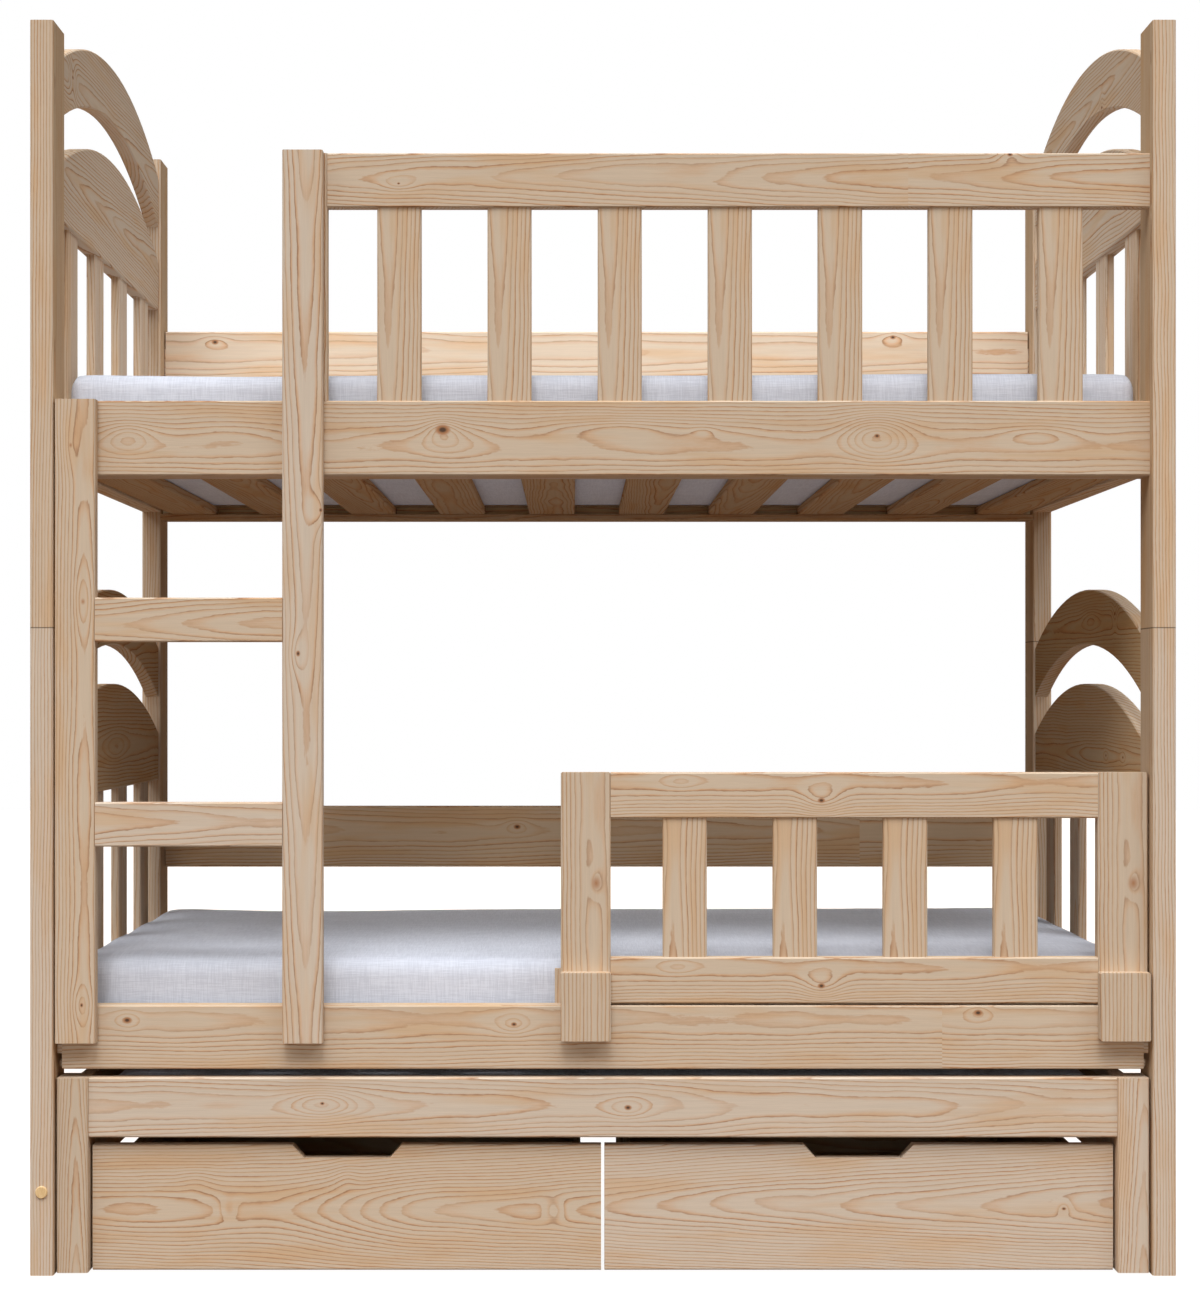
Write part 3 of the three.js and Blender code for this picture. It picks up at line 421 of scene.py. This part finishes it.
for index, side in enumerate(["left", "right"]):
    for storey in ["lower", "upper"]:
        seed = 30.0 + index + (5 if storey == "upper" else 0)
        top = 0.417 if storey == "lower" else 1.285
        # painted shade on the lower storey's inward faces, under the upper bunk; none on the upper
        # storey
        inwardShade = (0.91, 0.80, 0.64) if storey == "lower" else (1.0, 1.0, 1.0)
        for piece, step in [("end_panel", 0), ("arch", 2)]:
            woodValues[f"{storey}_{piece}_{side}"] = {
                "grain": "y", "seed": seed + step, "pitch": 5.0, "inwardShade": inwardShade,
                **endValues[f"{storey}_{piece}_{side}"]}
        woodValues[f"{storey}_end_grid_{side}"] = {
            "grain": "y", "seed": seed + 10,
            "level": top - 0.048, "shade": 1.12 if storey == "upper" else 1.0,
            "comb": {"grain": "slatZ", "above": top, "pitch": 182.6, "start": 92.95}}
    # the drawer boxes' inner tint and shade 0.85 are painted shade for the dark inside of the
    # drawers
    woodValues[f"{side}_drawer_box"] = {
        "grain": "x", "seed": 50.0 + index, "tint": "inner", "shade": 0.85, "walls": 0.0125}
    woodValues[f"trundle_end_{side}"] = {
        "grain": "z", "seed": 53.0 + index, "legs": 0.0459, "pitch": 3.4, "pith": 433 + 9 * index,
        "aside": 6 + 8 * index, "taper": 0.037, "shade": 0.92 + 0.08 * index,
        "tint": ["plain", "pale"][index]}
# the slat bases' inner tint is painted shade on their undersides
for index, name in enumerate(["upper", "lower", "trundle"]):
    woodValues[f"{name}_slat_base"] = {
        "grain": "slatY", "seed": 60.0 + 30 * index, "tint": "inner",
        "row": {"pitch": 165.5, "start": 82.75 if index < 2 else 0.0}}

# inner is a painted shade for parts inside the bed, where less light comes
tints = {"inner": (0.85, 0.75, 0.62), "pale": (1.04, 1.09, 1.16), "plain": (1.02, 1.03, 1.03),
         "warm": (0.98, 0.91, 0.80)}


def distance(t, value, middle):
    return t.calc("ABSOLUTE", t.calc("SUBTRACT", value, middle))


# The next functions move the point into the board of one part of a node, and give that part its own
# seed. cut holds what the grain is worked out from, at what is known of the point and the node
def cutSeams(t, cut, at, seams):
    along = t.add("ShaderNodeSeparateXYZ", {0: cut["board"]}).outputs[0]
    for seam in seams:
        beyond = t.calc("GREATER_THAN", along, seam)
        cut["seed"] = t.calc("MULTIPLY_ADD", beyond, 3.31, cut["seed"])


def cutRow(t, cut, at, row):  # slats from end to end of the node
    board = boardVector(t, at["point"], at["grain"], (0, 0, at["middle"][2]))
    cut["board"], cut["seed"] = combVector(t, board, cut["seed"], row["pitch"], row["start"])


def cutComb(t, cut, at, comb):  # slats above or below a rail
    middle = at["middle"]
    centre = (middle[0], 0, 0) if comb["grain"] == "slatZ" else (0, middle[1], 0)
    slat = boardVector(t, at["point"], comb["grain"], centre)
    step = 0.0 if "aside" in comb else 2.73
    slat, slatSeed = combVector(t, slat, at["seed"] + 40, comb["pitch"], comb["start"], step)
    if "below" in comb:
        isSlat = t.calc("LESS_THAN", at["place"][2], comb["below"])
    else:
        isSlat = t.calc("GREATER_THAN", at["place"][2], comb["above"])
    if "aside" in comb:  # the guards' slats all show the same cut
        for key, other in [("aside", comb["aside"]), ("pitch", comb["ring"])]:
            cut[key] = t.calc("MULTIPLY_ADD", isSlat, other - cut[key], cut[key])
    else:
        cut["loose"] = t.calc("MAXIMUM", isSlat, cut["loose"])
    cut["board"] = mixVector(t, isSlat, cut["board"], slat)
    cut["seed"] = t.add("ShaderNodeMix", {0: isSlat, 2: cut["seed"], 3: slatSeed}).outputs[0]


def cutBlocks(t, cut, at, blocks):  # the blocks before and behind the rail
    front = t.calc("LESS_THAN", at["place"][1], at["low"][1] + blocks[0])
    behind = t.calc("GREATER_THAN", at["place"][1], at["high"][1] - blocks[1])
    either = t.calc("MAXIMUM", front, behind)
    cut["seed"] = t.calc("MULTIPLY_ADD", either, 4.4, cut["seed"])


def cutWalls(t, cut, at, wall):  # the side walls of a drawer run front to back
    middle = at["middle"]
    half = (at["high"][0] - at["low"][0]) / 2
    side = t.calc("GREATER_THAN", distance(t, at["place"][0], middle[0]), half - wall)
    other = boardVector(t, at["point"], "y", (middle[0], 0, middle[2]))
    cut["board"] = mixVector(t, side, cut["board"], other)
    right = t.calc("GREATER_THAN", at["place"][0], middle[0])
    step = t.calc("MULTIPLY_ADD", right, 2.1, 1.7)
    cut["seed"] = t.calc("MULTIPLY_ADD", side, step, cut["seed"])


def cutLegs(t, cut, at, leg):  # the rail between two legs runs front to back
    middle = at["middle"]
    half = (at["high"][1] - at["low"][1]) / 2
    between = t.calc("LESS_THAN", distance(t, at["place"][1], middle[1]), half - leg)
    other = boardVector(t, at["point"], "y", (middle[0], 0, middle[2]))
    cut["board"] = mixVector(t, between, cut["board"], other)
    cut["seed"] = t.calc("MULTIPLY_ADD", between, 3.3, cut["seed"])


cutters = {"seams": cutSeams, "row": cutRow, "comb": cutComb, "blocks": cutBlocks,
           "walls": cutWalls, "legs": cutLegs}


# The swell of all figures together, and the deepest of their cores
def addFigures(t, board, figures):
    swell, core = 0.0, 0.0
    for along, across, spreadAlong, spreadAcross, lift, radius in figures:
        reach = 1 / abs(radius) if radius else 1000.0
        figure = t.add("ShaderNodeGroup", {}, node_tree=grainFigure)
        t.fill(figure, {"Board": board, "Place": (along, across, 0), "Lift": lift,
                        "Spread": (1 / spreadAlong, 1 / spreadAcross, 0),
                        "Knot": (0.7 * reach, reach, 0)})
        swell = t.calc("ADD", swell, figure.outputs["Swell"])
        depth = t.calc("MULTIPLY", figure.outputs["Core"], 0.45 if radius < 0 else 1.0)
        core = t.calc("MAXIMUM", core, depth)
    return swell, core


shadeValues = {"rim": 0.0004, "jointHalf": 0.0009, "jointShade": -0.6}


# A board's own brightness and tint, which on some boards are painted light or shade, then the
# painted shade of its inward face and the painted light in the dark recess between the slats' ends,
# and a thin dark line where an upper post stands on a lower one
def shadeWood(t, color, at, values):
    place, low, high = at["place"], at["low"], at["high"]
    # shade is a board's own brightness, but painted light on the safety board and painted shade on
    # the drawer boxes
    if "shade" in values:
        color = t.scaled(color, values["shade"])
    color = t.vec("MULTIPLY", color, tints[values.get("tint", "plain")])
    # painted shade on the faces towards the bed's middle
    if "inwardShade" in values:
        inner = min(abs(low[0]), abs(high[0])) + shadeValues["rim"]
        faces = t.calc("LESS_THAN", t.calc("ABSOLUTE", place[0]), inner)
        color = t.vec("MULTIPLY", color, mixVector(t, faces, (1, 1, 1), values["inwardShade"]))
    # painted light in the dark recess on the rail's inner face above the ledger
    if "recessPaintedLight" in values:
        recessPaintedLight = values["recessPaintedLight"]
        facing = t.calc("LESS_THAN", place[1], high[1] - recessPaintedLight["rail"])
        inside = t.calc("MULTIPLY", facing, t.calc("GREATER_THAN", place[2], recessPaintedLight["above"]))
        color = t.vec("MULTIPLY", color, mixVector(t, inside, (1, 1, 1), recessPaintedLight["shade"]))
    if "joint" in values:
        far = distance(t, place[2], values["joint"])
        line = t.calc("LESS_THAN", far, shadeValues["jointHalf"])
        color = t.scaled(color, t.calc("MULTIPLY_ADD", line, shadeValues["jointShade"], 1.0))
    return color


# A wooden node's own material: where the point lies in its board, the figures, and the grain
def makeWood(name, values):
    material, t, shader = newMaterial(f"pine_{name}")
    low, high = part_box(name)
    middle = [(a + b) / 2 for a, b in zip(low, high)]
    middle[2] = values.get("level", middle[2])
    point = t.add("ShaderNodeTexCoord").outputs["Object"]
    place = t.add("ShaderNodeSeparateXYZ", {0: point}).outputs
    grain = values["grain"]
    centre = [0 if runs else value for runs, value in zip(grains[grain][0], middle)]
    at = {"point": point, "place": place, "low": low, "high": high, "middle": middle,
          "grain": grain, "seed": values["seed"]}
    cut = {"board": boardVector(t, point, grain, centre), "seed": values["seed"],
           "aside": values.get("aside", 0.0), "pitch": values.get("pitch", 4.0),
           "loose": 1.0 if "pith" not in values else 0.0}
    for key, cutter in cutters.items():
        if key in values:
            cutter(t, cut, at, values[key])
    swell, core = addFigures(t, cut["board"], values.get("figures", []))
    pine = t.add("ShaderNodeGroup", {}, node_tree=pineGrain)
    t.fill(pine, {"Board": cut["board"], "Seed": cut["seed"], "Swell": swell, "Core": core,
                  "Pitch": cut["pitch"], "Pith": values.get("pith", 30), "Aside": cut["aside"],
                  "Taper": values.get("taper", 0.0), "Loose": cut["loose"]})
    color = shadeWood(t, pine.outputs["Color"], at, values)
    bump = t.add("ShaderNodeBump", {"Strength": 0.35, "Distance": 0.0004,
                                    "Height": pine.outputs["Height"]})
    t.fill(shader, {"Base Color": color, "Roughness": pine.outputs["Roughness"],
                    "Normal": bump.outputs[0], "Specular IOR Level": 0.0})
    return material


def dress(name, material):
    data = nodes[name].data
    data.materials.clear()
    data.materials.append(material)


for name, values in woodValues.items():
    dress(name, makeWood(name, values))
print("stage: pine on", len(woodValues), "nodes")

plugValues = {"light": tone(226, 196, 146), "dark": tone(208, 170, 116), "roughness": 0.45}


# Turned cover cap: pale wood with faint straight grain
def makePlug(values):
    material, t, shader = newMaterial("coverCapWood")
    point = t.add("ShaderNodeTexCoord").outputs["Object"]
    streak = t.noise(t.vec("MULTIPLY", point, (900, 900, 90)), 3.0)
    color = t.blend(t.ramp(streak, 0.35, 0.7), values["light"], values["dark"])
    bump = t.add("ShaderNodeBump", {"Strength": 0.2, "Distance": 0.0003, "Height": streak})
    t.fill(shader, {"Base Color": color, "Normal": bump.outputs[0],
                    "Roughness": values["roughness"]})
    return material


wheelValues = {"light": tone(118, 121, 127), "dark": tone(100, 103, 109), "roughness": 0.4,
               "scuffs": 0.2}


# Moulded grey plastic of the wheels, with a fine uneven skin and scuffs where it runs
def makeWheelPlastic(values):
    material, t, shader = newMaterial("wheelPlastic")
    point = t.add("ShaderNodeTexCoord").outputs["Object"]
    cloud = t.noise(t.scaled(point, 120), 3.0)
    skin = t.noise(t.scaled(point, 1500), 2.0)
    color = t.blend(t.ramp(cloud, 0.3, 0.75), values["light"], values["dark"])
    bump = t.add("ShaderNodeBump", {"Strength": 0.25, "Distance": 0.0002, "Height": skin})
    rough = t.calc("MULTIPLY_ADD", cloud, values["scuffs"], values["roughness"])
    t.fill(shader, {"Base Color": color, "Roughness": rough, "Normal": bump.outputs[0]})
    return material


dress("bolt_cover_cap", makePlug(plugValues))
wheelPlastic = makeWheelPlastic(wheelValues)
for name in nodes:
    if "wheel" in name:
        dress(name, wheelPlastic)
print("stage: cap and wheels")

# thread and run: how fine the threads are across and along, per metre; fade: where light turns to
# dark; top: the painted shade on the top panel, its brightness against the sides'
linenValues = {
    "light": tone(221, 226, 238), "dark": tone(204, 209, 222), "top": 0.81,
    "thread": 1400.0, "run": 55.0, "cloud": 18.0, "cloudDepth": 0.35, "fade": (1.85, 2.5),
    "roughness": 0.85, "specular": 0.08, "sheen": 0.02, "sheenRoughness": 0.5,
}


# Linen: long streaks of thread along X crossed by short ones across, light and dark by their
# thickness, with slubs and a fine raised weave; the cover's top panel is painted darker, a painted
# shade
def makeLinen(values):
    material, t, shader = newMaterial("linenCover")
    point = t.add("ShaderNodeTexCoord").outputs["Object"]
    fine, run = values["thread"], values["run"]
    weft = t.noise(t.vec("MULTIPLY", point, (run, fine, fine)), 1.0)
    warp = t.noise(t.vec("MULTIPLY", point, (fine, run, run)), 1.0)
    slubWeft = t.noise(t.vec("MULTIPLY", point, (run / 2.5, fine / 3, fine / 3)), 2.0)
    slubWarp = t.noise(t.vec("MULTIPLY", point, (fine / 3, run / 2.5, run / 2.5)), 2.0)
    cloud = t.noise(t.scaled(point, values["cloud"]), 2.0)
    threads = t.calc("ADD", t.calc("ADD", weft, warp), t.calc("ADD", slubWeft, slubWarp))
    level = t.calc("MULTIPLY_ADD", cloud, values["cloudDepth"], threads)
    color = t.blend(t.ramp(level, *values["fade"]), values["light"], values["dark"])
    # painted shade: the top panel is darkened by the top factor
    topShadeMask = t.add("ShaderNodeAttribute", attribute_name="paintedTopShade").outputs["Fac"]
    color = t.scaled(color, t.calc("MULTIPLY_ADD", topShadeMask, values["top"] - 1, 1.0))
    weave = t.calc("ADD", t.calc("SUBTRACT", weft, warp), slubWeft)
    bump = t.add("ShaderNodeBump", {"Strength": 0.3, "Distance": 0.0006, "Height": weave})
    t.fill(shader, {"Base Color": color, "Normal": bump.outputs[0],
                    "Roughness": values["roughness"], "Specular IOR Level": values["specular"],
                    "Sheen Weight": values["sheen"], "Sheen Roughness": values["sheenRoughness"]})
    return material


linenCover = makeLinen(linenValues)

# Sizes of the mattresses' start shape, in metres: how far it is drawn in from the CAD solid's
# box on every side, and let out again at the ends, where it is pressed against the end grids, its
# edge and corner radii, and how far the cloth may swell; wave: height of the cover's waves in mm;
# dips: (x, y, spread, depth) where it has been lain on
mattressValues = {
    "upper_mattress": {
        "drawn": 0.001, "long": 0.006, "edge": 0.017, "corner": 0.015, "swell": 0.005, "wave": 1.2,
        "dips": [(0.1, 0.0, 0.5, 0.002), (-0.58, -0.42, 0.2, 0.0035), (0.5, -0.42, 0.22, -0.002)]},
    "lower_mattress": {
        "drawn": 0.001, "long": 0.005, "edge": 0.020, "corner": 0.018, "swell": 0.005, "wave": 3.0,
        "dips": [(-0.52, 0.28, 0.24, 0.0055), (0.1, -0.1, 0.5, 0.002)]},
    "trundle_mattress": {
        "drawn": 0.001, "long": 0.0, "edge": 0.016, "corner": 0.024, "swell": 0.004, "wave": 1.0,
        "dips": []},
}
mattressBodies = {"upper_mattress": "bed_frame", "lower_mattress": "bed_frame",
                  "trundle_mattress": "trundle"}
voxel = 0.012


# A rounded box skinned over loops: each loop is a rectangle with rounded corners, drawn in by the
# profile's inset at its height; the profile goes round a quarter circle at both edges
def foamBlock(low, high, values):
    steps = np.linspace(0, math.pi / 2, 7)
    edge = values["edge"]
    height = high[2] - low[2]
    under = min(edge, height * 0.35)
    insets = np.concatenate([[0.3, 0.1], under * (1 - np.sin(steps)),
                             edge * (1 - np.cos(steps)), [0.1, 0.3]])
    heights = np.concatenate([[0, 0], under * (1 - np.cos(steps)),
                              height - edge + edge * np.sin(steps), [height, height]])
    quarter = np.linspace(0, math.pi / 2, 8)
    angles = np.concatenate([quarter + turn * math.pi / 2 for turn in range(4)])
    signs = np.sign(np.stack([np.cos(np.repeat(np.arange(4) * math.pi / 2 + math.pi / 4, 8)),
                              np.sin(np.repeat(np.arange(4) * math.pi / 2 + math.pi / 4, 8))]))
    half = np.array([(high[0] - low[0]) / 2, (high[1] - low[1]) / 2])
    radius = np.maximum(values["corner"] - insets, 0.004)[:, None]
    reach = half[:, None, None] - insets[None, :, None] - radius[None]
    x = signs[0] * reach[0] + radius * np.cos(angles)
    y = signs[1] * reach[1] + radius * np.sin(angles)
    z = np.repeat(heights[:, None], len(angles), axis=1)
    points = np.stack([x + (low[0] + high[0]) / 2, y + (low[1] + high[1]) / 2, z + low[2]], -1)
    loops, count = x.shape
    ring, at = np.meshgrid(np.arange(loops - 1), np.arange(count), indexing="ij")
    after = (at + 1) % count
    quads = np.stack([ring * count + at, ring * count + after,
                      (ring + 1) * count + after, (ring + 1) * count + at], -1).reshape(-1, 4)
    faces = quads.tolist()
    faces.append(list(range(count))[::-1])
    faces.append([(loops - 1) * count + k for k in range(count)])
    return points.reshape(-1, 3), faces


def newMesh(name, points, faces):
    mesh = bpy.data.meshes.new(name)
    mesh.from_pydata(points.tolist(), [], faces)
    mesh.update()
    made = bpy.data.objects.new(name, mesh)
    bpy.context.scene.collection.objects.link(made)
    return made


def getPoints(mesh):
    points = np.empty(len(mesh.vertices) * 3)
    mesh.vertices.foreach_get("co", points)
    return points.reshape(-1, 3)


def applied(made):
    depsgraph = bpy.context.evaluated_depsgraph_get()
    mesh = bpy.data.meshes.new_from_object(made.evaluated_get(depsgraph))
    old = made.data
    made.modifiers.clear()
    made.data = mesh
    bpy.data.meshes.remove(old)


clothValues = {"quality": 4, "mass": 0.3, "stretch": 12, "bend": 0.8, "pressure": 4, "frames": 20}


# Cloth under pressure, without gravity: the cover swells over the foam, and no point goes further
# than the swell from where it began
def swollen(made, values):
    start = getPoints(made.data)
    cloth = made.modifiers.new("cover", "CLOTH")
    cloth.settings.quality = clothValues["quality"]
    cloth.settings.mass = clothValues["mass"]
    cloth.settings.tension_stiffness = clothValues["stretch"]
    cloth.settings.compression_stiffness = clothValues["stretch"]
    cloth.settings.bending_stiffness = clothValues["bend"]
    cloth.settings.use_pressure = True
    cloth.settings.uniform_pressure_force = clothValues["pressure"]
    cloth.settings.effector_weights.gravity = 0
    cloth.point_cache.frame_start = 1
    cloth.point_cache.frame_end = clothValues["frames"]
    scene = bpy.context.scene
    for frameNumber in range(1, clothValues["frames"] + 1):
        scene.frame_set(frameNumber)
    applied(made)
    moved = getPoints(made.data) - start
    far = np.linalg.norm(moved, axis=1, keepdims=True)
    capped = start + moved * np.minimum(1, values["swell"] / np.maximum(far, 1e-9))
    scene.frame_set(1)
    return capped


# Lies of the cover: long shallow waves over the top, as a sum of sines that run mostly along the
# bed, are strongest at its ends and die out down the sides, and broad round dips, each a bell curve
def addWaves(points, low, high, wave, dips):
    x, y = points[:, 0], points[:, 1]
    rim, reach = 0.03, 0.28  # how far the waves go down the sides, and in from the ends
    top = np.clip((points[:, 2] - high[2] + rim) / rim, 0, 1)
    end = np.exp(-((x - low[0]) / reach) ** 2) + np.exp(-((high[0] - x) / reach) ** 2)
    long = np.sin(9.3 * x + 2.1 * y + 0.7) * np.sin(4.7 * y + 1.3)
    short = np.sin(31 * y + 6.0 * x) * np.cos(3.1 * x - 0.4)
    lift = 0.35 * long + (0.2 + 0.8 * end) * 0.45 * short
    points[:, 2] += top * (lift - 0.4) * wave * 0.001
    for dipX, dipY, spread, depth in dips:
        far = ((x - dipX) ** 2 + (y - dipY) ** 2) / spread ** 2
        points[:, 2] -= top * depth * np.exp(-far)
    return points


def makeMattress(name, values):
    low, high = [np.array(corner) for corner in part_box(name)]
    drawn, longer = values["drawn"], values["long"]
    inner = low + [drawn - longer, drawn, 0], high - [drawn - longer, drawn, drawn]
    made = newMesh(f"{name}_cover", *foamBlock(*inner, values))
    remesh = made.modifiers.new("even", "REMESH")
    remesh.mode = "VOXEL"
    remesh.voxel_size = voxel
    applied(made)
    points = swollen(made, values)
    points[:, 2] = np.maximum(points[:, 2], low[2])
    points = addWaves(points, low, high, values["wave"], values["dips"])
    made.data.vertices.foreach_set("co", points.ravel())
    made.data.update()
    smooth = made.modifiers.new("smooth", "SUBSURF")
    smooth.levels = smooth.render_levels = 1
    applied(made)
    # the mask of the top panel, where the painted shade lies
    rise = (getPoints(made.data)[:, 2] - high[2] + values["edge"]) / values["edge"]
    panel = made.data.attributes.new("paintedTopShade", "FLOAT", "POINT")
    panel.data.foreach_set("value", np.clip(rise, 0, 1))
    made.data.polygons.foreach_set("use_smooth", np.ones(len(made.data.polygons), bool))
    made.data.materials.clear()
    made.data.materials.append(linenCover)
    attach(made, mattressBodies[name])
    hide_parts(name)
    return made


for name, values in mattressValues.items():
    made = makeMattress(name, values)
    print("stage:", name, len(made.data.polygons), "faces")

floorValues = {"half": 12.0, "color": tone(115, 91, 68), "glow": 0.93, "roughness": 0.8,
               "specular": 0.1}


# The floor: pale, and for the camera nearly white by its own light, so that only the shadow shows
def makeFloor(values):
    half = values["half"]
    corners = np.array([[-half, -half, 0], [half, -half, 0], [half, half, 0], [-half, half, 0]])
    made = newMesh("floor", corners, [[0, 1, 2, 3]])
    material, t, shader = newMaterial("paleFloor")
    glow = t.calc("MULTIPLY", seenDirectly(t), values["glow"])
    t.fill(shader, {"Base Color": values["color"], "Roughness": values["roughness"],
                    "Specular IOR Level": values["specular"], "Emission Color": (1, 1, 1, 1),
                    "Emission Strength": glow})
    made.data.materials.append(material)


worldValues = {"fill": 0.02, "tone": (1.0, 1.0, 1.0, 1.0)}


# The room's light: white where the camera, gloss or glass sees it, a plain grey fill elsewhere
def makeWorld(values):
    world = bpy.data.worlds.new("room")
    bpy.context.scene.world = world
    world.use_nodes = True
    t = Tree(world.node_tree)
    background = world.node_tree.nodes["Background"]
    strength = t.calc("MULTIPLY_ADD", seenDirectly(t), 1 - values["fill"], values["fill"])
    t.fill(background, {"Color": values["tone"], "Strength": strength})


# Wide far lamps: the way they shine from, as degrees to the right of the front and above the
# floor, how wide they look in degrees, and their strength
lampValues = {
    "key": {"right": -5, "above": 66, "angle": 30, "strength": 2.46},
    "low": {"right": -5, "above": 12, "angle": 20, "strength": 0.65},
    "left": {"right": -75, "above": 45, "angle": 40, "strength": 0.81},
    "right": {"right": 75, "above": 45, "angle": 40, "strength": 0.25},
    "halfLeft": {"right": -55, "above": 45, "angle": 30, "strength": 0.455},
    "halfRight": {"right": 55, "above": 45, "angle": 30, "strength": 0.955},
    "behind": {"right": 180, "above": 7, "angle": 20, "strength": 1.55},
}


def makeLamp(name, values):
    data = bpy.data.lights.new(name, "SUN")
    data.angle = math.radians(values["angle"])
    data.energy = values["strength"]
    lamp = bpy.data.objects.new(name, data)
    right, above = math.radians(values["right"]), math.radians(values["above"])
    way = Vector((math.sin(right) * math.cos(above), -math.cos(right) * math.cos(above),
                  math.sin(above)))
    lamp.rotation_euler = way.to_track_quat("Z", "Y").to_euler()
    bpy.context.scene.collection.objects.link(lamp)


makeFloor(floorValues)
makeWorld(worldValues)
for name, values in lampValues.items():
    makeLamp(name, values)
bpy.context.scene.view_settings.view_transform = "Standard"
print("stage: floor, world and lamps")
